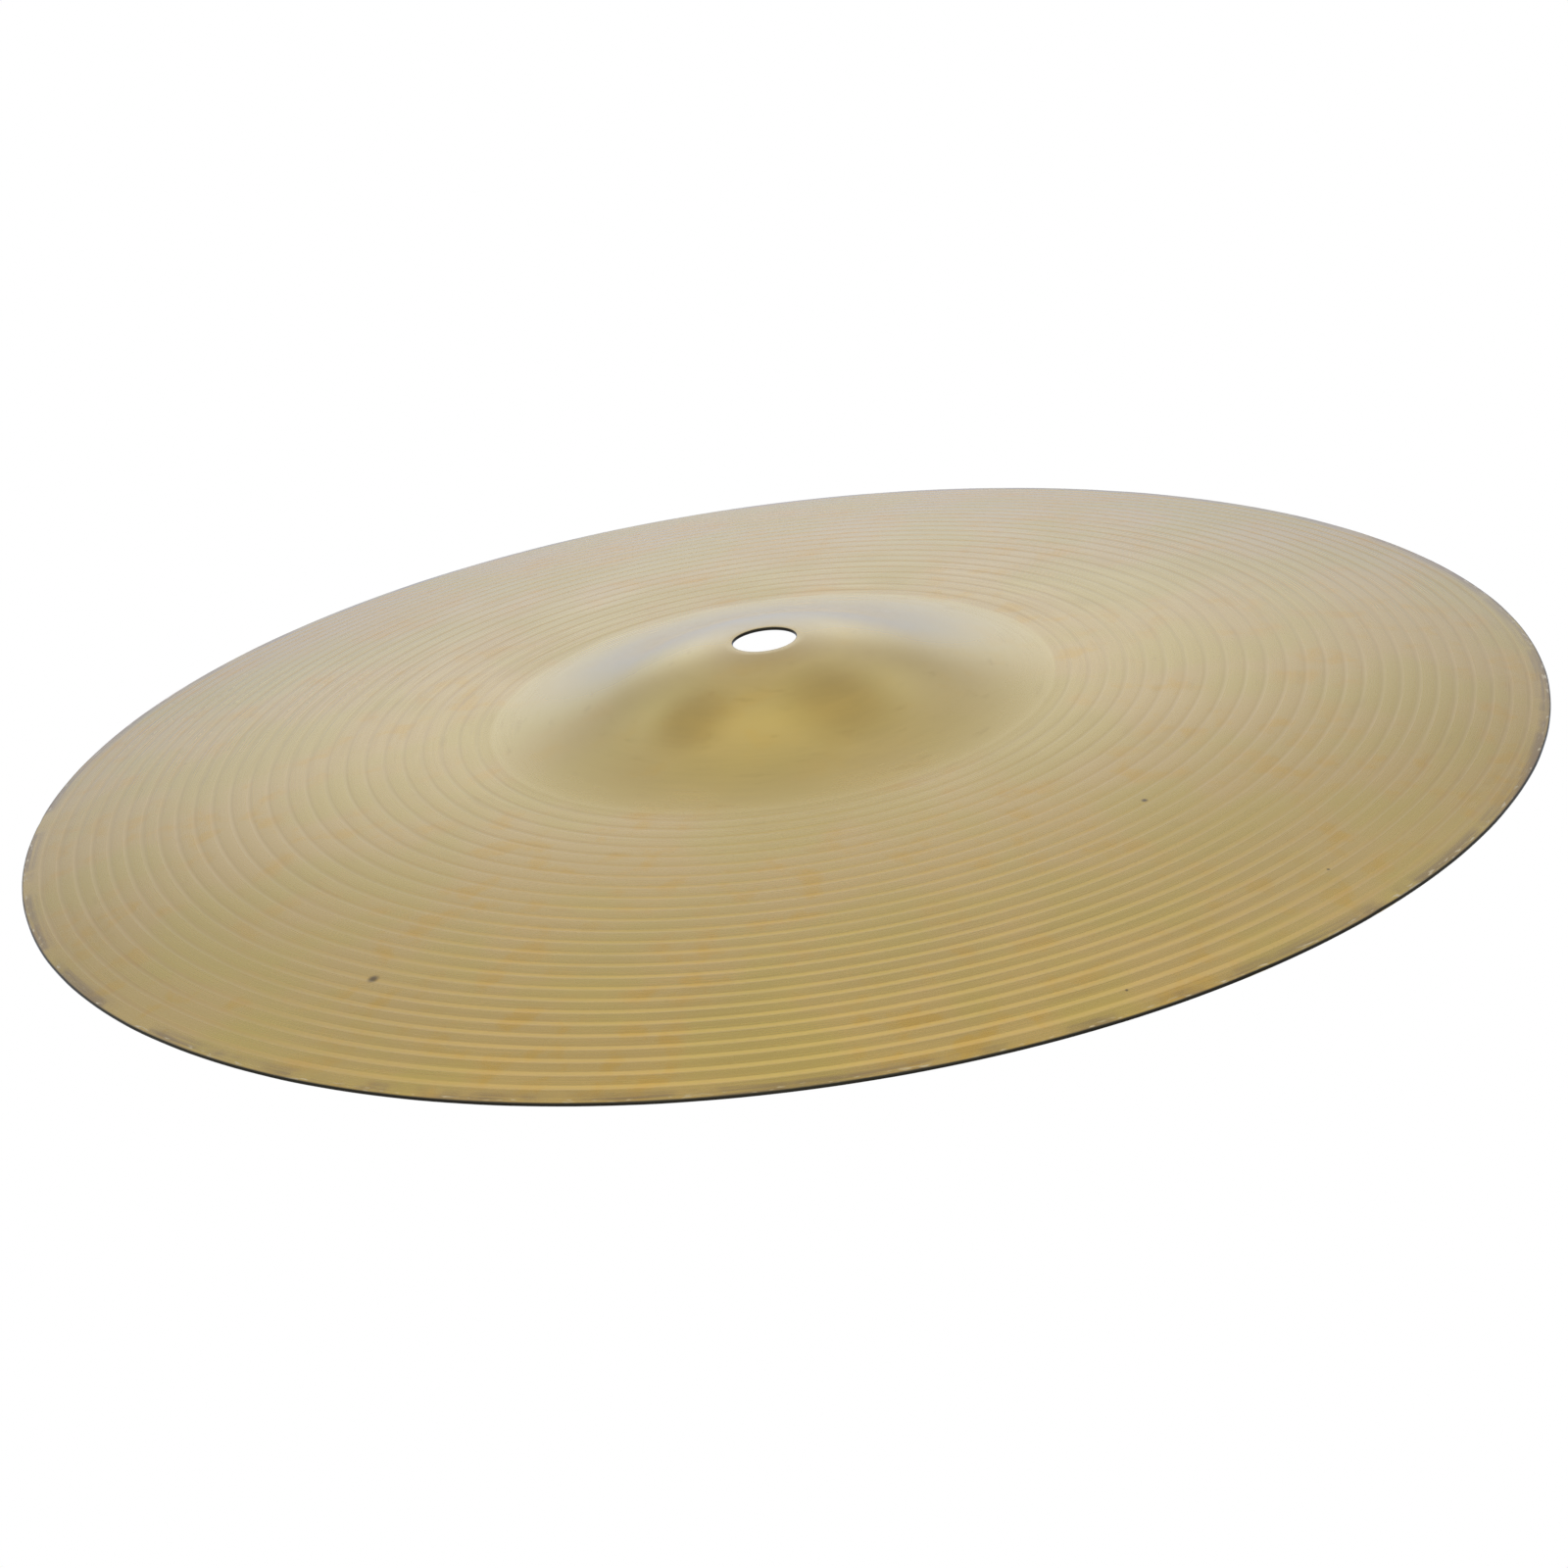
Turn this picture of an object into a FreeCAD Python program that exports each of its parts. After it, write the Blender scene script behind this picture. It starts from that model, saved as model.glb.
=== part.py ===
import FreeCAD, Part
import math
import os

# Crash cymbal: one sheet of brass, spun into a bell and a bow, lathed with tonal grooves, trimmed and bored.
# Millimetres.  +Z is up and is the cymbal's axis.  The origin is on that axis, level with the lowest edge of the rim.

Vector = FreeCAD.Vector
AXIS = Vector(0, 0, 1)
CENTRE = Vector(0, 0, 0)

# Driving dimensions of the sheet
DIAMETER = 304.8            # a 12 inch cymbal
SHEET = 0.7                 # sheet thickness, measured along Z
HOLE_DIAMETER = 12.7        # clears a stand's 8 mm post and its plastic sleeve
EDGE_ROUND = 0.2            # broken edges at the hole and at the rim

# Bow: the wide shallow dome.  Its drop grows with the cube of the radius, so it turns down towards the rim.
BOW_RISE = 13.35
BOW_POWER = 3

# Bell: a spherical crown that runs into a concave flare, which meets the bow at a faint crease
BELL_DIAMETER = 113.0
BELL_STEEPEST_RADIUS = 30.0
BELL_STEEPEST_ANGLE = math.radians(23.3)
BELL_FOOT_ANGLE = math.radians(6.0)

# Tonal grooves, cut with a round-nosed tool.  The tool was fed by hand, so they wander off an even pitch,
# and each is cut a little deeper than the one inside it.
GROOVE_COUNT = 25
FIRST_GROOVE_RADIUS = 59.3
LAST_GROOVE_RADIUS = 148.3
GROOVE_WIDTH = 1.4
FIRST_GROOVE_DEPTH = 0.02
LAST_GROOVE_DEPTH = 0.06
GROOVE_WANDER = 0.96
WANDER_LAG = math.radians(28)

RIM_RADIUS = DIAMETER / 2
HOLE_RADIUS = HOLE_DIAMETER / 2
BELL_RADIUS = BELL_DIAMETER / 2
ROUND_MIDDLE = 1 - math.sqrt(0.5)   # how far in the middle of a quarter round lies, in radii of the round


def bow_height(radius):
    """Height of the bow's upper face at a radius."""
    return SHEET + BOW_RISE * (1 - (radius / RIM_RADIUS) ** BOW_POWER)


def arc_point(centre, radius, angle):
    """Point of a profile arc, where the angle is its slope away from level."""
    return Vector(centre.x + radius * math.sin(angle), 0, centre.z + radius * math.cos(angle))


def bell_arcs():
    """The bell's upper profile as two tangent arcs, each given as its start, middle and end."""
    crown_radius = BELL_STEEPEST_RADIUS / math.sin(BELL_STEEPEST_ANGLE)
    flare_width = BELL_RADIUS - BELL_STEEPEST_RADIUS
    flare_radius = flare_width / (math.sin(BELL_STEEPEST_ANGLE) - math.sin(BELL_FOOT_ANGLE))
    foot_z = bow_height(BELL_RADIUS)
    flare_centre = Vector(BELL_RADIUS + flare_radius * math.sin(BELL_FOOT_ANGLE), 0,
                          foot_z + flare_radius * math.cos(BELL_FOOT_ANGLE))
    steepest = arc_point(flare_centre, -flare_radius, BELL_STEEPEST_ANGLE)
    crown_centre = Vector(0, 0, steepest.z - crown_radius * math.cos(BELL_STEEPEST_ANGLE))
    hole_angle = math.asin((HOLE_RADIUS + EDGE_ROUND) / crown_radius)
    crown_middle = (hole_angle + BELL_STEEPEST_ANGLE) / 2
    flare_middle = (BELL_FOOT_ANGLE + BELL_STEEPEST_ANGLE) / 2
    crown = [arc_point(crown_centre, crown_radius, angle)
             for angle in (hole_angle, crown_middle, BELL_STEEPEST_ANGLE)]
    flare = [arc_point(flare_centre, -flare_radius, angle)
             for angle in (BELL_STEEPEST_ANGLE, flare_middle, BELL_FOOT_ANGLE)]
    return crown, flare


def grooves():
    """Radius of the middle and depth of each tonal groove, from the bell outwards."""
    pairs = []
    for index in range(GROOVE_COUNT):
        share = index / (GROOVE_COUNT - 1)
        even = FIRST_GROOVE_RADIUS + share * (LAST_GROOVE_RADIUS - FIRST_GROOVE_RADIUS)
        swing = math.cos(WANDER_LAG) - math.cos(2 * math.pi * share - WANDER_LAG)
        depth = FIRST_GROOVE_DEPTH + share * (LAST_GROOVE_DEPTH - FIRST_GROOVE_DEPTH)
        pairs.append((even + GROOVE_WANDER * swing, depth))
    return pairs


def on_bow(radius, depth=0.0):
    return Vector(radius, 0, bow_height(radius) - depth)


def arc_edge(points):
    return Part.Arc(*points).toShape()


def line_edge(start, end):
    return Part.LineSegment(start, end).toShape()


def grooved_bow_edges():
    """The bow's upper profile: straight lands with a shallow round groove between each two."""
    edges = []
    start = on_bow(BELL_RADIUS)
    for radius, depth in grooves():
        near = on_bow(radius - GROOVE_WIDTH / 2)
        bottom = on_bow(radius, depth)
        far = on_bow(radius + GROOVE_WIDTH / 2)
        edges.append(line_edge(start, near))
        edges.append(arc_edge([near, bottom, far]))
        start = far
    edges.append(line_edge(start, on_bow(RIM_RADIUS - EDGE_ROUND)))
    return edges


def plain_bow_edge(drop):
    """The bow's lower profile as one smooth curve, from the rim in to the foot of the bell."""
    count = 12
    step = (RIM_RADIUS - EDGE_ROUND - BELL_RADIUS) / count
    points = [on_bow(RIM_RADIUS - EDGE_ROUND - step * index, drop) for index in range(count + 1)]
    curve = Part.BSplineCurve()
    curve.interpolate(points)
    return curve.toShape()


def edge_round(start, end, wall_radius):
    """The end of the sheet: two small rounds with a straight cylindrical wall between them."""
    inward = math.copysign(EDGE_ROUND, start.x - wall_radius)
    upper_z, lower_z = max(start.z, end.z), min(start.z, end.z)
    middle_x = wall_radius + ROUND_MIDDLE * inward
    middle_drop = ROUND_MIDDLE * EDGE_ROUND
    upper = [Vector(wall_radius + inward, 0, upper_z),
             Vector(middle_x, 0, upper_z - middle_drop),
             Vector(wall_radius, 0, upper_z - EDGE_ROUND)]
    lower = [Vector(wall_radius, 0, lower_z + EDGE_ROUND),
             Vector(middle_x, 0, lower_z + middle_drop),
             Vector(wall_radius + inward, 0, lower_z)]
    edges = [arc_edge(upper), line_edge(upper[-1], lower[0]), arc_edge(lower)]
    return edges if start.z > end.z else edges[::-1]


def cymbal():
    down = Vector(0, 0, -SHEET)
    crown, flare = bell_arcs()
    upper = [arc_edge(crown), arc_edge(flare)] + grooved_bow_edges()
    lower = [plain_bow_edge(SHEET),
             arc_edge([point + down for point in reversed(flare)]),
             arc_edge([point + down for point in reversed(crown)])]
    rim_top = on_bow(RIM_RADIUS - EDGE_ROUND)
    rim = edge_round(rim_top, rim_top + down, RIM_RADIUS)
    hole = edge_round(crown[0] + down, crown[0], HOLE_RADIUS)
    profile = Part.Wire(Part.__sortEdges__(upper + rim + lower + hole))
    return Part.Face(profile).revolve(CENTRE, AXIS, 360)


def main():
    shape = cymbal()
    # The rim's rounds leave the lowest edge a hair above zero, so the sheet is set down on the plane z = 0.
    shape.translate(Vector(0, 0, -shape.optimalBoundingBox().ZMin))
    os.makedirs("parts", exist_ok=True)
    shape.exportStep("parts/cymbal.step")
    box = shape.optimalBoundingBox()
    print("cymbal solids", len(shape.Solids), "valid", shape.isValid(), "volume", round(shape.Volume, 1))
    print("box", round(box.XLength, 3), round(box.YLength, 3), "z", round(box.ZMin, 3), round(box.ZMax, 3))
    crown, flare = bell_arcs()
    print("hole edge z", round(crown[0].z, 3), "steepest z", round(crown[-1].z, 3), "foot z", round(flare[-1].z, 3))


main()
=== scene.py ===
import math
from collections import namedtuple

import bpy
from mathutils import Matrix, Vector


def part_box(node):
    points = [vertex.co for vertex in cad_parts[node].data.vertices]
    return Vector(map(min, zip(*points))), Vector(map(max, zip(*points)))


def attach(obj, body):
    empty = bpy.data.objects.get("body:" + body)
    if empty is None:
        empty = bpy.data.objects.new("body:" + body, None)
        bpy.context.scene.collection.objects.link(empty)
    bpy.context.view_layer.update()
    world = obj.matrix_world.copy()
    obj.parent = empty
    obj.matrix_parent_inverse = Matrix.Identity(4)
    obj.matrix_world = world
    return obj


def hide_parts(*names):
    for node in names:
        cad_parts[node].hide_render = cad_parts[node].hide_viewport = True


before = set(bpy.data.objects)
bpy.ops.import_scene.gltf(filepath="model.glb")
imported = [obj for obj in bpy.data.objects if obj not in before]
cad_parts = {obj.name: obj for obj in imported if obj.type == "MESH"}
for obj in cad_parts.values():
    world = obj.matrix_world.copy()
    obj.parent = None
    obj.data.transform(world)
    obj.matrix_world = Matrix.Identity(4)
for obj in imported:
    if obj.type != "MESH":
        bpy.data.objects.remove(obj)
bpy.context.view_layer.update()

MM = 0.001

# The sheet, as the CAD model has it
SHEET = 0.7 * MM
HOLE_RADIUS = 6.35 * MM
EDGE_ROUND = 0.2 * MM
BOW_RISE = 13.35 * MM
BOW_POWER = 3
BELL_RADIUS = 56.5 * MM
BELL_STEEPEST_RADIUS = 30.0 * MM
BELL_STEEPEST_ANGLE = math.radians(23.3)
BELL_FOOT_ANGLE = math.radians(6.0)
GROOVE_COUNT = 25
FIRST_GROOVE_RADIUS = 59.3 * MM
LAST_GROOVE_RADIUS = 148.3 * MM
GROOVE_WIDTH = 1.4 * MM
FIRST_GROOVE_DEPTH = 0.02 * MM
LAST_GROOVE_DEPTH = 0.06 * MM
GROOVE_WANDER = 0.96 * MM
WANDER_LAG = math.radians(28)

CAD_LOW, CAD_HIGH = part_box("cymbal")
RIM_RADIUS = (CAD_HIGH.x - CAD_LOW.x) / 2

# How finely the sheet is meshed
SEGMENTS = 320
CROWN_STEPS = 14
FLARE_STEPS = 12
GROOVE_STEPS = 6
UNDERSIDE_STEPS = 30
EDGE_STEPS = 4

# A point of the section.  Its last two values go to the material with the mesh: how roughly a groove is cut
# there, and how far the point belongs to a cut edge.
Point = namedtuple("Point", "radius z groove cut", defaults=(0.0, 0.0))
GROOVE_FILL = 2.5               # the rough band fills the groove nearly from edge to edge
RIM_LIP_CUT = 0.5               # how far the rim's upper lip belongs to the cut edge
EDGE_MARGIN = 0.6 * MM          # how far the cut edge's painted shade fades out over the rim's upper face

# Wear of the rim: slight waves as (number all round, depth, phase), and knocks as (degrees round, depth)
RIM_WAVES = ((23, 0.020 * MM, 0.4), (41, 0.015 * MM, 2.1), (67, 0.012 * MM, 4.4))
RIM_KNOCKS = ((301, 0.25 * MM), (313, 0.30 * MM), (172, 0.15 * MM), (58, 0.20 * MM))
KNOCK_WIDTH = math.radians(0.8)


# ---------------------------------------------------------------- the sheet's section

def bow_height(radius):
    """Height of the bow's upper face at a radius."""
    return SHEET + BOW_RISE * (1 - (radius / RIM_RADIUS) ** BOW_POWER)


def bell_arcs():
    """The bell's crown and flare, each as (centre radius, centre z, signed arc radius)."""
    crown_radius = BELL_STEEPEST_RADIUS / math.sin(BELL_STEEPEST_ANGLE)
    flare_width = BELL_RADIUS - BELL_STEEPEST_RADIUS
    flare_radius = flare_width / (math.sin(BELL_STEEPEST_ANGLE) - math.sin(BELL_FOOT_ANGLE))
    flare_x = BELL_RADIUS + flare_radius * math.sin(BELL_FOOT_ANGLE)
    flare_z = bow_height(BELL_RADIUS) + flare_radius * math.cos(BELL_FOOT_ANGLE)
    steepest_z = flare_z - flare_radius * math.cos(BELL_STEEPEST_ANGLE)
    crown_z = steepest_z - crown_radius * math.cos(BELL_STEEPEST_ANGLE)
    return (0.0, crown_z, crown_radius), (flare_x, flare_z, -flare_radius)


def arc_points(arc, first_angle, last_angle, steps):
    """Points along an arc of the section, where an angle is the slope away from level."""
    centre_x, centre_z, radius = arc
    points = []
    for index in range(steps + 1):
        angle = first_angle + (last_angle - first_angle) * index / steps
        points.append(Point(centre_x + radius * math.sin(angle), centre_z + radius * math.cos(angle)))
    return points


def bell_profile():
    """The bell's upper face, from the hole out to the bell's foot."""
    crown, flare = bell_arcs()
    hole_angle = math.asin((HOLE_RADIUS + EDGE_ROUND) / crown[2])
    points = arc_points(crown, hole_angle, BELL_STEEPEST_ANGLE, CROWN_STEPS)
    return points + arc_points(flare, BELL_STEEPEST_ANGLE, BELL_FOOT_ANGLE, FLARE_STEPS)[1:]


def grooves():
    """Radius of the middle and depth of each tonal groove, from the bell outwards."""
    pairs = []
    for index in range(GROOVE_COUNT):
        share = index / (GROOVE_COUNT - 1)
        even = FIRST_GROOVE_RADIUS + share * (LAST_GROOVE_RADIUS - FIRST_GROOVE_RADIUS)
        swing = math.cos(WANDER_LAG) - math.cos(2 * math.pi * share - WANDER_LAG)
        depth = FIRST_GROOVE_DEPTH + share * (LAST_GROOVE_DEPTH - FIRST_GROOVE_DEPTH)
        pairs.append((even + GROOVE_WANDER * swing, depth))
    return pairs


def bow_profile():
    """The grooved upper face of the bow, from just outside the bell to just inside the rim."""
    points = []
    for middle, depth in grooves():
        for index in range(GROOVE_STEPS + 1):
            across = index / GROOVE_STEPS - 0.5
            radius = middle + across * GROOVE_WIDTH
            hollow = 0.5 + 0.5 * math.cos(2 * math.pi * across)
            rough = min(1.0, GROOVE_FILL * hollow) * depth / LAST_GROOVE_DEPTH
            points.append(Point(radius, bow_height(radius) - depth * hollow, rough))
        land = radius + GROOVE_WIDTH
        points.append(Point(land, bow_height(land)))
    last = RIM_RADIUS - EDGE_ROUND
    margin = last - EDGE_MARGIN
    points[-1] = Point(margin, bow_height(margin))
    points.append(Point(last, bow_height(last), cut=RIM_LIP_CUT))
    return points


def edge_profile(start, end, wall_radius):
    """The end of the sheet between an upper and a lower point: a round, a short wall and a round."""
    inward = math.copysign(EDGE_ROUND, start.radius - wall_radius)
    upper_z = max(start.z, end.z) - EDGE_ROUND
    lower_z = min(start.z, end.z) + EDGE_ROUND
    points = []
    for index in range(1, EDGE_STEPS + 1):
        angle = math.pi / 2 * index / EDGE_STEPS
        radius = wall_radius + inward * (1 - math.sin(angle))
        cut = RIM_LIP_CUT + (1 - RIM_LIP_CUT) * index / EDGE_STEPS
        points.append(Point(radius, upper_z + EDGE_ROUND * math.cos(angle), cut=cut))
    for index in range(EDGE_STEPS):
        angle = math.pi / 2 * index / EDGE_STEPS
        radius = wall_radius + inward * (1 - math.cos(angle))
        points.append(Point(radius, lower_z - EDGE_ROUND * math.sin(angle), cut=1.0))
    return points if start.z > end.z else points[::-1]


def underside_profile():
    """The plain lower face, from the rim in to the hole."""
    last = RIM_RADIUS - EDGE_ROUND
    bow = []
    for index in range(UNDERSIDE_STEPS):
        radius = last + (BELL_RADIUS - last) * index / UNDERSIDE_STEPS
        bow.append(Point(radius, bow_height(radius) - SHEET))
    return bow + [Point(point.radius, point.z - SHEET) for point in reversed(bell_profile())]


def sheet_profile():
    """The whole section as one closed loop of points."""
    upper = bell_profile() + bow_profile()
    lower = underside_profile()
    rim = edge_profile(upper[-1], lower[0], RIM_RADIUS)
    hole = edge_profile(lower[-1], upper[0], HOLE_RADIUS)
    return upper + rim + lower + hole


# ---------------------------------------------------------------- the sheet's mesh

def rim_wear(angle):
    """How far the rim's cut edge is worn in at an angle round the sheet."""
    wear = sum(depth * (1 + math.sin(count * angle + phase)) for count, depth, phase in RIM_WAVES)
    for degrees, depth in RIM_KNOCKS:
        away = math.remainder(angle - math.radians(degrees), 2 * math.pi)
        wear += depth * math.exp(-(away / KNOCK_WIDTH) ** 2)
    return wear


def make_sheet():
    """The section turned once round the axis, with its rim worn, set down on the CAD model's lowest level."""
    profile = sheet_profile()
    drop = min(point.z for point in profile) - CAD_LOW.z
    rings = len(profile)
    corners = []
    for segment in range(SEGMENTS):
        angle = 2 * math.pi * segment / SEGMENTS
        wear = rim_wear(angle)
        for point in profile:
            worn = point.cut * wear if point.radius > BELL_RADIUS else 0.0
            radius = point.radius - worn
            corners.append((radius * math.cos(angle), radius * math.sin(angle), point.z - drop))
    faces = []
    for segment in range(SEGMENTS):
        here = segment * rings
        there = (segment + 1) % SEGMENTS * rings
        for ring in range(rings):
            after = (ring + 1) % rings
            faces.append((here + ring, here + after, there + after, there + ring))
    mesh = bpy.data.meshes.new("sheet")
    mesh.from_pydata(corners, [], faces)
    mesh.polygons.foreach_set("use_smooth", [True] * len(mesh.polygons))
    for name in ("groove", "cut"):
        values = [getattr(point, name) for point in profile] * SEGMENTS
        mesh.attributes.new(name, "FLOAT", "POINT").data.foreach_set("value", values)
    mesh.update()
    piece = bpy.data.objects.new("cymbal_sheet", mesh)
    bpy.context.scene.collection.objects.link(piece)
    return piece


# ---------------------------------------------------------------- shader nodes

# The colour sockets of a Mix node share their names with its other sockets, so they go by number.
MIX_FIRST, MIX_SECOND, MIX_RESULT = 6, 7, 2


class Nodes:
    """A few short ways to add and join shader nodes."""

    def __init__(self, tree):
        self.tree = tree
        self.tree.nodes.clear()

    def add(self, kind, **settings):
        node = self.tree.nodes.new(kind)
        for name, value in settings.items():
            setattr(node, name, value)
        return node

    def put(self, socket, value):
        if isinstance(value, bpy.types.NodeSocket):
            self.tree.links.new(value, socket)
        else:
            socket.default_value = value

    def math(self, operation, first, second=0.0):
        node = self.add("ShaderNodeMath", operation=operation)
        self.put(node.inputs[0], first)
        self.put(node.inputs[1], second)
        return node.outputs[0]

    def vector(self, operation, first, second=(0.0, 0.0, 0.0)):
        node = self.add("ShaderNodeVectorMath", operation=operation)
        self.put(node.inputs[0], first)
        self.put(node.inputs["Scale" if operation == "SCALE" else 1], second)
        result = "Value" if operation in ("LENGTH", "DOT_PRODUCT") else "Vector"
        return node.outputs[result]

    def combine(self, x, y, z):
        node = self.add("ShaderNodeCombineXYZ")
        for socket, value in zip(node.inputs, (x, y, z)):
            self.put(socket, value)
        return node.outputs[0]

    def mix(self, share, first, second):
        node = self.add("ShaderNodeMix", data_type="RGBA")
        self.put(node.inputs["Factor"], share)
        self.put(node.inputs[MIX_FIRST], first)
        self.put(node.inputs[MIX_SECOND], second)
        return node.outputs[MIX_RESULT]

    def ramp(self, value, low, high, new_low=0.0, new_high=1.0):
        """A smooth change from new_low to new_high while the value goes from low to high."""
        node = self.add("ShaderNodeMapRange", interpolation_type="SMOOTHSTEP")
        for index, number in enumerate((value, low, high, new_low, new_high)):
            self.put(node.inputs[index], number)
        return node.outputs[0]

    def noise(self, vector, detail=2.0, roughness=0.5):
        node = self.add("ShaderNodeTexNoise")
        self.put(node.inputs["Vector"], vector)
        node.inputs["Scale"].default_value = 1.0
        node.inputs["Detail"].default_value = detail
        node.inputs["Roughness"].default_value = roughness
        return node.outputs["Fac"]

    def attribute(self, name):
        return self.add("ShaderNodeAttribute", attribute_name=name).outputs["Fac"]


# ---------------------------------------------------------------- brass

# Colours, linear
BRASS = (0.810, 0.575, 0.185, 1)
OLIVE = (0.780, 0.580, 0.155, 1)
COPPER = (0.825, 0.540, 0.115, 1)
BELL_BRASS = (0.915, 0.710, 0.250, 1)
TARNISH_AND_DARK_REFLECTION = (0.640, 0.455, 0.125, 1)
GRIME = (0.360, 0.250, 0.140, 1)
BARE = (0.930, 0.780, 0.480, 1)
SPECK = (0.160, 0.110, 0.050, 1)
# painted shade: the cut edges of the rim and the hole are coloured near black where they lie in shade
CUT_EDGE_SHADE = (0.015, 0.012, 0.010, 1)

# Round marks, each at (share of the rim's radius, degrees round, width in millimetres)
SPECKS = ((0.810, 230, 2.6), (0.635, 313, 1.5), (0.905, 314, 0.8), (0.955, 292, 0.8))
# Dark patches on the front of the bell: the one at 297 degrees is a painted dark reflection, the one at 236
# degrees a stain
STAIN_AND_DARK_REFLECTION = ((0.185, 297, 25), (0.190, 236, 19))
HAZES = ((0.70, 165, 170), (0.60, 5, 150))     # where the grooves look faint
SPOT_CORE = 0.1                 # a mark is in full out to this share of its width from its middle
SPOT_REACH = 0.6                # and gone from this share on

# How much of its own colour each layer lays over the ones below
BELL_POLISH = 0.65              # the bell isn't lathed, and is a little paler
BELL_DARKENING_STRENGTH = 0.8
SMEAR_STRENGTH = 0.30
GROOVE_BARED = 0.25             # the grooves are paler than the lands
HAZE_STRENGTH = 0.6             # how much of that, and of the grooves' roughness, a haze takes away
GRIME_STRENGTH = 0.75
SPECK_STRENGTH = 0.9

# Between which values of its noise each pattern comes up, from none to all of it
OLIVE_SHOWS = (0.40, 0.62)
COPPER_SHOWS = (0.50, 0.68)
COPPER_LEAVES_OLIVE = (0.60, 0.42)
SMEAR_STREAKS = (0.56, 0.74)
SMEAR_PATCHES = (0.42, 0.60)
GRIME_SMEARS = (0.25, 0.60)
GRIME_BLOTS = (0.35, 0.55)
NICKS_SHOW = (0.58, 0.70)
CUT_EDGE_SHADE_SHOWS = (0.20, 0.75)      # on the scale of how far a point belongs to a cut edge

# Zones of the sheet
HOLE_DARKENING_RADIUS = 17 * MM           # how far out from the hole the sheet is darkened
BELL_EDGE = 0.5 * MM            # half the width over which the bell's colour turns into the bow's
BELL_SMOOTH = 0.75              # the bell is smoothest inside this share of its radius
GRIME_STARTS = 0.975            # where the grime of the rim's margin starts, as a share of the rim's radius
GRIME_EDGE = 3 * MM             # how far out from there it comes up in full
NICK_REACH = 1 * MM             # how far in from the cut edge's margin the nicks fade out

LAND_ROUGHNESS = 0.26
BELL_ROUGHNESS = -0.05          # less than on the lands
GROOVE_ROUGHNESS = 0.31         # more than on the lands
CUT_EDGE_ROUGHNESS = 0.55
LATHE_SWING = 0.03              # how much rougher or smoother the turning marks make the lands
SMUDGE_SWING = 0.02             # and how much the smudges do
ROUGHNESS_NOISE = (0.3, 0.7)    # the values of both noises that these swings lie between
LATHE_DEPTH = 0.0015 * MM       # of the fine turning marks
ANISOTROPY = 0.80
ANISOTROPY_TURN = 0.25          # a quarter turn, so that highlights spread across the turning marks
COAT_ROUGHNESS = 0.32
COAT_IOR = 1.5


class Place:
    """Where a point of the surface lies, as millimetres in space and as rings about the axis."""

    def __init__(self, nodes):
        self.nodes = nodes
        position = nodes.add("ShaderNodeTexCoord").outputs["Object"]
        self.space = nodes.vector("SCALE", position, 1 / MM)
        self.flat = nodes.vector("MULTIPLY", self.space, (1, 1, 0))
        self.radius = nodes.vector("LENGTH", self.flat)
        self.outward = nodes.vector("NORMALIZE", self.flat)

    def patches(self, size, shift=0.0):
        """Coordinates for a noise whose features are about size millimetres across."""
        scaled = self.nodes.vector("SCALE", self.space, 1 / size)
        return self.nodes.vector("ADD", scaled, (shift, shift, shift))

    def rings(self, width, breaks):
        """Coordinates for a noise drawn out along the turning direction.

        Its streaks are about width millimetres wide, and there are some 6 * breaks of them in each ring.
        """
        along = self.nodes.vector("SCALE", self.outward, breaks)
        across = self.nodes.combine(0.0, 0.0, self.nodes.math("DIVIDE", self.radius, width))
        return self.nodes.vector("ADD", along, across)


def spots(nodes, place, marks, strength):
    """How strongly a point is marked by the nearest of some round soft-edged spots."""
    mark = 0.0
    for share, degrees, width in marks:
        radius = share * RIM_RADIUS / MM
        angle = math.radians(degrees)
        centre = (radius * math.cos(angle), radius * math.sin(angle), 0.0)
        away = nodes.vector("LENGTH", nodes.vector("SUBTRACT", place.flat, centre))
        spot = nodes.ramp(away, width * SPOT_CORE, width * SPOT_REACH, strength, 0.0)
        mark = nodes.math("MAXIMUM", mark, spot)
    return mark


def fresh_grooves(nodes, place):
    """How freshly cut the sheet looks at a point: only in the grooves, and less so under the hazes."""
    clear = nodes.math("SUBTRACT", 1.0, spots(nodes, place, HAZES, HAZE_STRENGTH))
    return nodes.math("MULTIPLY", nodes.attribute("groove"), clear)


def grime(nodes, place):
    """How much dirt lies on the margin between the last groove and the rim."""
    start = GRIME_STARTS * RIM_RADIUS / MM
    margin = nodes.ramp(place.radius, start, start + GRIME_EDGE / MM)
    smears = nodes.noise(place.rings(width=0.8, breaks=6), detail=3)
    blots = nodes.noise(place.patches(size=12, shift=5.3), detail=3)
    dirty = nodes.math("MULTIPLY", nodes.ramp(smears, *GRIME_SMEARS), nodes.ramp(blots, *GRIME_BLOTS))
    return nodes.math("MULTIPLY", margin, nodes.math("MULTIPLY", dirty, GRIME_STRENGTH))


def nicks(nodes, place):
    """Where the rim's upper edge is knocked bright."""
    margin = (RIM_RADIUS - EDGE_MARGIN) / MM
    near = nodes.ramp(place.radius, margin - NICK_REACH / MM, margin)
    chips = nodes.noise(place.rings(width=0.6, breaks=60), detail=1)
    return nodes.math("MULTIPLY", near, nodes.ramp(chips, *NICKS_SHOW))


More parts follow.
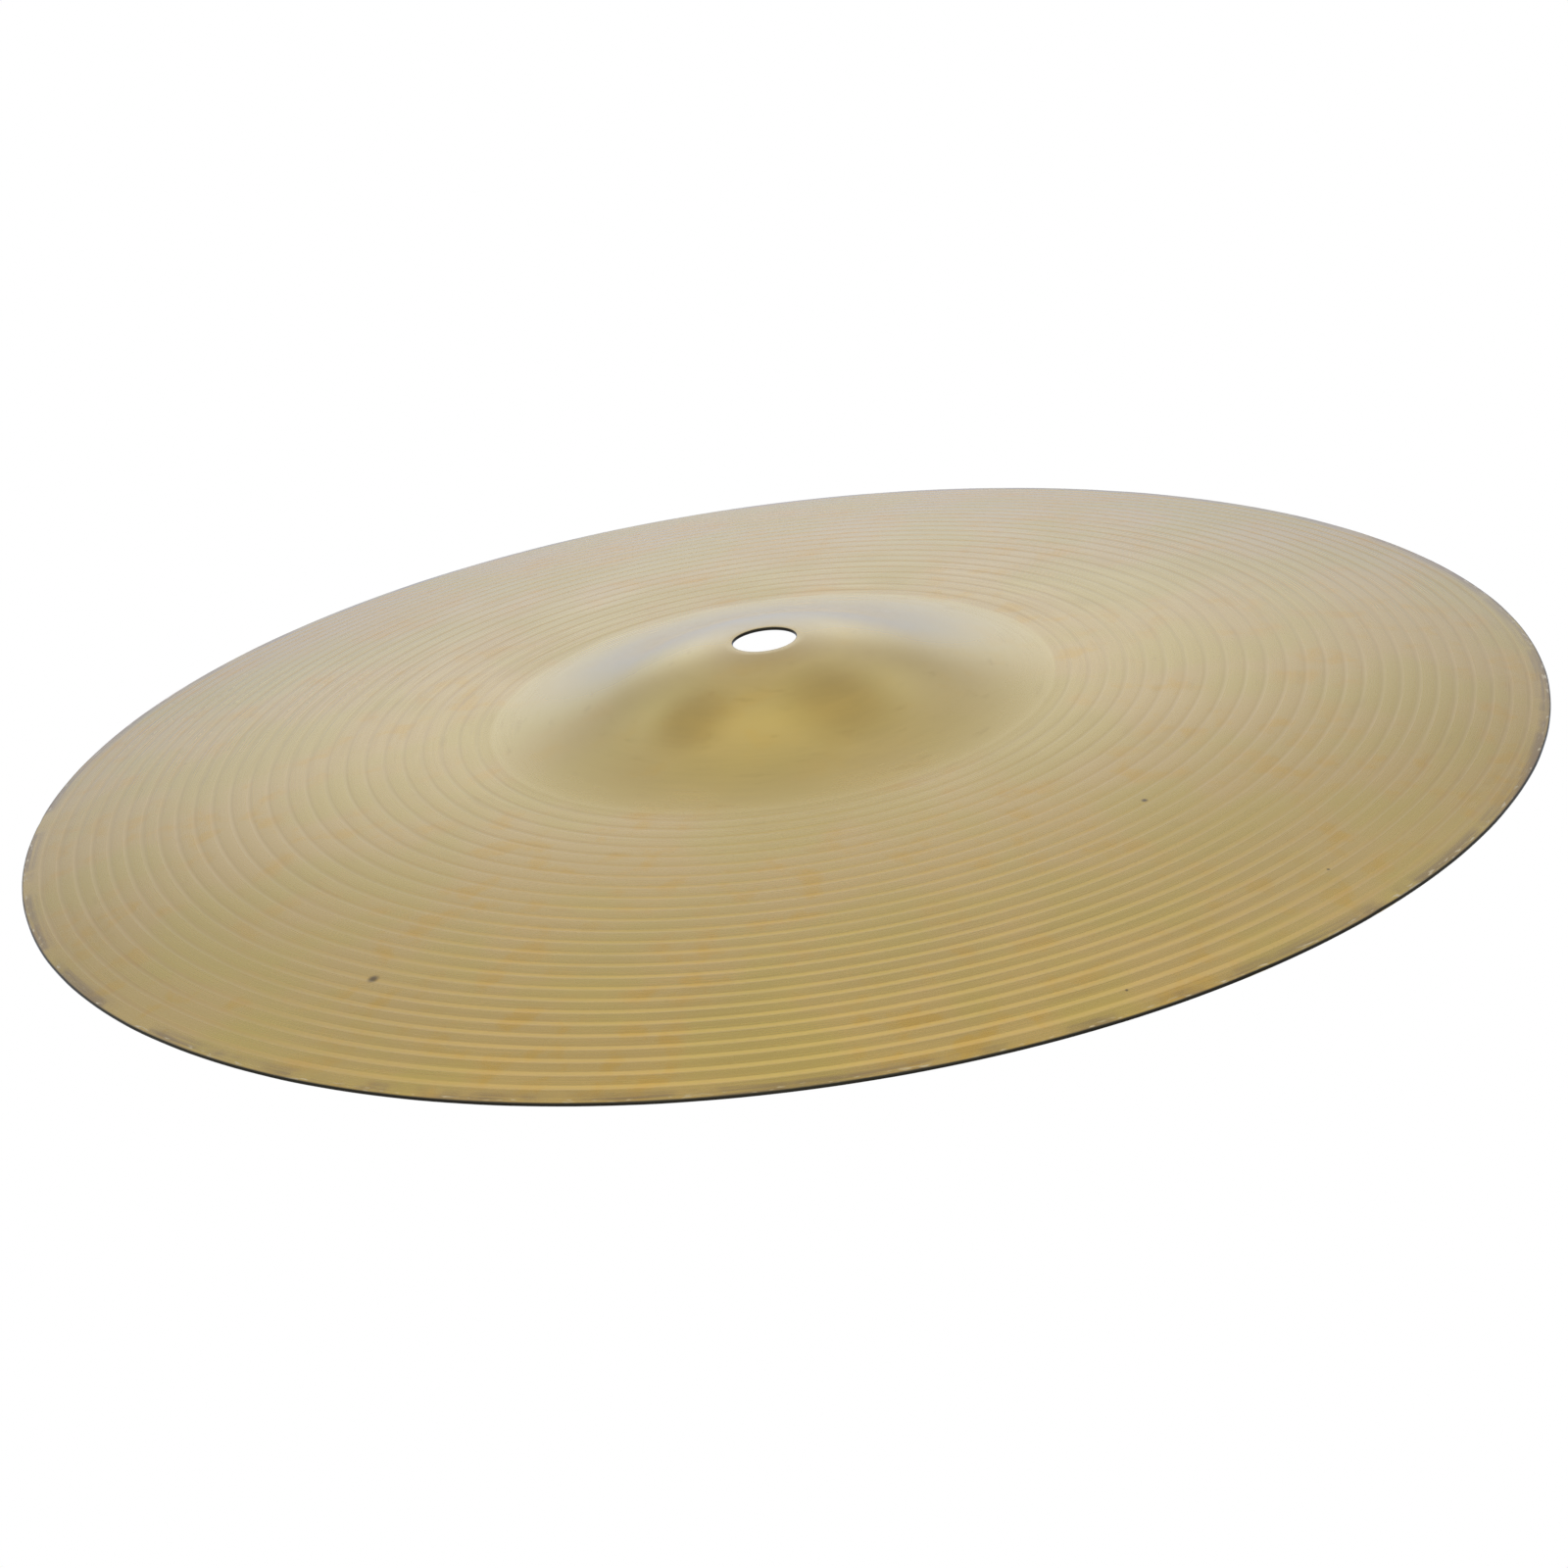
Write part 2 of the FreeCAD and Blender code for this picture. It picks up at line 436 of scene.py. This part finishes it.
def brass_colour(nodes, place, fresh):
    """Plain brass with the layers of tarnish, dirt and wear, a darkening round the hole, a painted dark
    reflection on the bell and painted shade on the cut edges laid over it one by one.
    """
    cloud = nodes.noise(place.patches(size=26, shift=3.7), detail=3)
    patch = nodes.noise(place.patches(size=7, shift=11.3), detail=3)
    streak = nodes.noise(place.rings(width=2.5, breaks=5), detail=3)
    olive = nodes.ramp(cloud, *OLIVE_SHOWS)
    copper = nodes.math("MULTIPLY", nodes.ramp(patch, *COPPER_SHOWS), nodes.ramp(cloud, *COPPER_LEAVES_OLIVE))
    foot = BELL_RADIUS / MM
    blend = BELL_EDGE / MM
    bell = nodes.ramp(place.radius, foot - blend, foot + blend, BELL_POLISH, 0.0)
    # the sheet is darker round the hole
    hole_darkening = nodes.ramp(place.radius, HOLE_RADIUS / MM, HOLE_DARKENING_RADIUS / MM, BELL_DARKENING_STRENGTH, 0.0)
    # the darkening round the hole, and the dark patches on the bell's front, of which the one at 297 degrees
    # is a painted dark reflection
    bell_darkening = nodes.math("MAXIMUM", hole_darkening, spots(nodes, place, STAIN_AND_DARK_REFLECTION, BELL_DARKENING_STRENGTH))
    smear = nodes.math("MULTIPLY", nodes.ramp(streak, *SMEAR_STREAKS), nodes.ramp(patch, *SMEAR_PATCHES))
    layers = (
        (olive, OLIVE),
        (copper, COPPER),
        (bell, BELL_BRASS),
        (bell_darkening, TARNISH_AND_DARK_REFLECTION),
        (nodes.math("MULTIPLY", smear, SMEAR_STRENGTH), TARNISH_AND_DARK_REFLECTION),
        (nodes.math("MULTIPLY", fresh, GROOVE_BARED), BARE),
        (grime(nodes, place), GRIME),
        (nicks(nodes, place), BARE),
        (spots(nodes, place, SPECKS, SPECK_STRENGTH), SPECK),
        # painted shade on the cut edges of the rim and the hole
        (nodes.ramp(nodes.attribute("cut"), *CUT_EDGE_SHADE_SHOWS), CUT_EDGE_SHADE),
    )
    colour = BRASS
    for share, layer in layers:
        colour = nodes.mix(share, colour, layer)
    return colour


def brass_roughness(nodes, place, fresh):
    """The lands' roughness, and what the smudges and the zones of the sheet add to it."""
    lathe = nodes.noise(place.rings(width=0.6, breaks=4), detail=2)
    smudge = nodes.noise(place.patches(size=18, shift=7.1), detail=3)
    foot = BELL_RADIUS / MM
    additions = (
        nodes.ramp(smudge, *ROUGHNESS_NOISE, -SMUDGE_SWING, SMUDGE_SWING),
        nodes.math("MULTIPLY", fresh, GROOVE_ROUGHNESS),
        nodes.math("MULTIPLY", nodes.attribute("cut"), CUT_EDGE_ROUGHNESS - LAND_ROUGHNESS),
        nodes.ramp(place.radius, BELL_SMOOTH * foot, foot, BELL_ROUGHNESS, 0.0),
    )
    smoothest = LAND_ROUGHNESS - LATHE_SWING
    roughest = LAND_ROUGHNESS + LATHE_SWING
    roughness = nodes.ramp(lathe, *ROUGHNESS_NOISE, smoothest, roughest)
    for more in additions:
        roughness = nodes.math("ADD", roughness, more)
    return roughness


def lathe_lines(nodes, place):
    """The bump of the fine turning marks."""
    lines = nodes.noise(place.rings(width=0.5, breaks=3), detail=3, roughness=0.6)
    bump = nodes.add("ShaderNodeBump")
    bump.inputs["Distance"].default_value = LATHE_DEPTH
    nodes.put(bump.inputs["Height"], lines)
    return bump.outputs[0]


def brass_material():
    """Lathed and lacquered brass."""
    material = bpy.data.materials.new("lathed_brass")
    material.use_nodes = True
    nodes = Nodes(material.node_tree)
    place = Place(nodes)
    fresh = fresh_grooves(nodes, place)
    shader = nodes.add("ShaderNodeBsdfPrincipled")
    output = nodes.add("ShaderNodeOutputMaterial")
    nodes.put(output.inputs["Surface"], shader.outputs[0])
    nodes.put(shader.inputs["Base Color"], brass_colour(nodes, place, fresh))
    nodes.put(shader.inputs["Roughness"], brass_roughness(nodes, place, fresh))
    nodes.put(shader.inputs["Normal"], lathe_lines(nodes, place))
    shader.inputs["Metallic"].default_value = 1.0
    shader.inputs["Anisotropic"].default_value = ANISOTROPY
    shader.inputs["Anisotropic Rotation"].default_value = ANISOTROPY_TURN
    tangent = nodes.add("ShaderNodeTangent", direction_type="RADIAL")
    nodes.put(shader.inputs["Tangent"], tangent.outputs[0])
    shader.inputs["Coat Weight"].default_value = 1.0
    shader.inputs["Coat Roughness"].default_value = COAT_ROUGHNESS
    shader.inputs["Coat IOR"].default_value = COAT_IOR
    return material


# ---------------------------------------------------------------- the studio

FLOOR_SIDE = 6.0                # metres
FLOOR_GAP = 0.5 * MM            # how far the floor lies under the rim
CAMERA_DISTANCE = 7.0           # in rim radii
CAMERA_ELEVATION = math.radians(22.29)
CAMERA_ROLL = math.radians(8.01)
CAMERA_ASIDE = -0.0008          # in rim radii, along the picture's level direction
CAMERA_ABOVE = -0.0350          # in rim radii, square to it
CAMERA_LENS = 122.86            # millimetres, as is the sensor's width
SENSOR_WIDTH = 36.0
CLIP_START = 10 * MM

# The soft lights of the studio: where each comes from, how narrow it is, and its colour
Light = namedtuple("Light", "direction focus colour")
AMBIENT = (0.30, 0.29, 0.24)
LIGHTS = (
    Light((0.0, 1.0, 0.28), 45, (0.42, 0.50, 0.66)),     # the pale wall behind
    Light((0.0, 1.0, 0.2), 6, (0.10, 0.11, 0.19)),       # the room round that wall
    Light((0.0, 0.85, -0.53), 10, (0.43, 0.62, 1.12)),   # the floor behind
    Light((-0.38, 0.91, 0.13), 40, (0.05, 0.06, 0.07)),  # low behind on the left
    Light((0.38, 0.91, 0.13), 40, (0.09, 0.10, 0.13)),   # low behind on the right
    Light((0.0, 0.88, 0.47), 20, (0.09, 0.08, 0.12)),    # high behind
    Light((0.0, 0.72, 0.69), 25, (0.03, 0.03, 0.04)),    # higher behind
    Light((0.0, 0.38, 0.92), 25, (0.10, 0.11, 0.12)),    # overhead, a little behind
    Light((-0.48, 0.64, 0.6), 40, (0.17, 0.22, 0.33)),   # high behind on the left
    Light((0.48, 0.64, 0.6), 40, (0.20, 0.24, 0.36)),    # high behind on the right
    Light((-0.5, 0.0, 0.85), 12, (0.38, 0.34, 0.32)),    # overhead on the left
    Light((0.5, 0.0, 0.85), 12, (0.38, 0.34, 0.32)),     # overhead on the right
    Light((-0.7, -0.1, 0.7), 8, (0.44, 0.43, 0.35)),     # left
    Light((0.7, -0.1, 0.7), 8, (0.46, 0.45, 0.38)),      # right
    Light((0.0, -0.7, 0.7), 5, (0.85, 0.82, 0.54)),      # the key, above the camera
    Light((0.0, -1.0, 0.2), 3, (0.13, 0.13, 0.10)),      # fill from the camera's side
)


def make_floor():
    """A glowing white floor that takes no shadow and stays out of the brass's reflections."""
    half = FLOOR_SIDE / 2
    mesh = bpy.data.meshes.new("floor")
    corners = [(-half, -half, 0), (half, -half, 0), (half, half, 0), (-half, half, 0)]
    mesh.from_pydata(corners, [], [(0, 1, 2, 3)])
    floor = bpy.data.objects.new("floor", mesh)
    bpy.context.scene.collection.objects.link(floor)
    floor.location.z = CAD_LOW.z - FLOOR_GAP
    floor.visible_glossy = False
    material = bpy.data.materials.new("pale_floor")
    material.use_nodes = True
    nodes = Nodes(material.node_tree)
    output = nodes.add("ShaderNodeOutputMaterial")
    glow = nodes.add("ShaderNodeEmission")
    glow.inputs["Color"].default_value = (1, 1, 1, 1)
    glow.inputs["Strength"].default_value = 1.0
    nodes.put(output.inputs["Surface"], glow.outputs[0])
    mesh.materials.append(material)


def make_camera():
    """A camera in front of the cymbal, a little above it and rolled to one side."""
    centre = Vector((0, 0, CAD_LOW.z + SHEET))
    sine, cosine = math.sin(CAMERA_ELEVATION), math.cos(CAMERA_ELEVATION)
    right = Vector((1, 0, 0))
    up = Vector((0, sine, cosine))
    back = Vector((0, -cosine, sine))
    place = centre + RIM_RADIUS * (CAMERA_ASIDE * right + CAMERA_ABOVE * up + CAMERA_DISTANCE * back)
    roll_cosine, roll_sine = math.cos(CAMERA_ROLL), math.sin(CAMERA_ROLL)
    rolled_right = roll_cosine * right - roll_sine * up
    rolled_up = roll_sine * right + roll_cosine * up
    data = bpy.data.cameras.new("camera")
    data.lens = CAMERA_LENS
    data.sensor_width = SENSOR_WIDTH
    data.clip_start = CLIP_START
    camera = bpy.data.objects.new("camera", data)
    bpy.context.scene.collection.objects.link(camera)
    turn = Matrix((rolled_right, rolled_up, back)).transposed()
    camera.matrix_world = Matrix.Translation(place) @ turn.to_4x4()
    bpy.context.scene.camera = camera


def make_world():
    """A dome whose brightness is an even level plus one soft round glow for each light."""
    world = bpy.data.worlds.new("studio")
    world.use_nodes = True
    nodes = Nodes(world.node_tree)
    output = nodes.add("ShaderNodeOutputWorld")
    background = nodes.add("ShaderNodeBackground")
    towards = nodes.add("ShaderNodeTexCoord").outputs["Generated"]
    total = AMBIENT
    for light in LIGHTS:
        facing = nodes.vector("DOT_PRODUCT", towards, Vector(light.direction).normalized())
        fall = nodes.math("MULTIPLY", nodes.math("SUBTRACT", facing, 1.0), light.focus)
        glow = nodes.math("EXPONENT", fall)
        total = nodes.vector("ADD", total, nodes.vector("SCALE", light.colour, glow))
    nodes.put(background.inputs["Color"], total)
    background.inputs["Strength"].default_value = 1.0
    nodes.put(output.inputs["Surface"], background.outputs[0])
    bpy.context.scene.world = world


sheet = make_sheet()
sheet.data.materials.append(brass_material())
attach(sheet, "root")
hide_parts("cymbal")

make_floor()
make_camera()
make_world()
bpy.context.scene.view_settings.view_transform = "Standard"
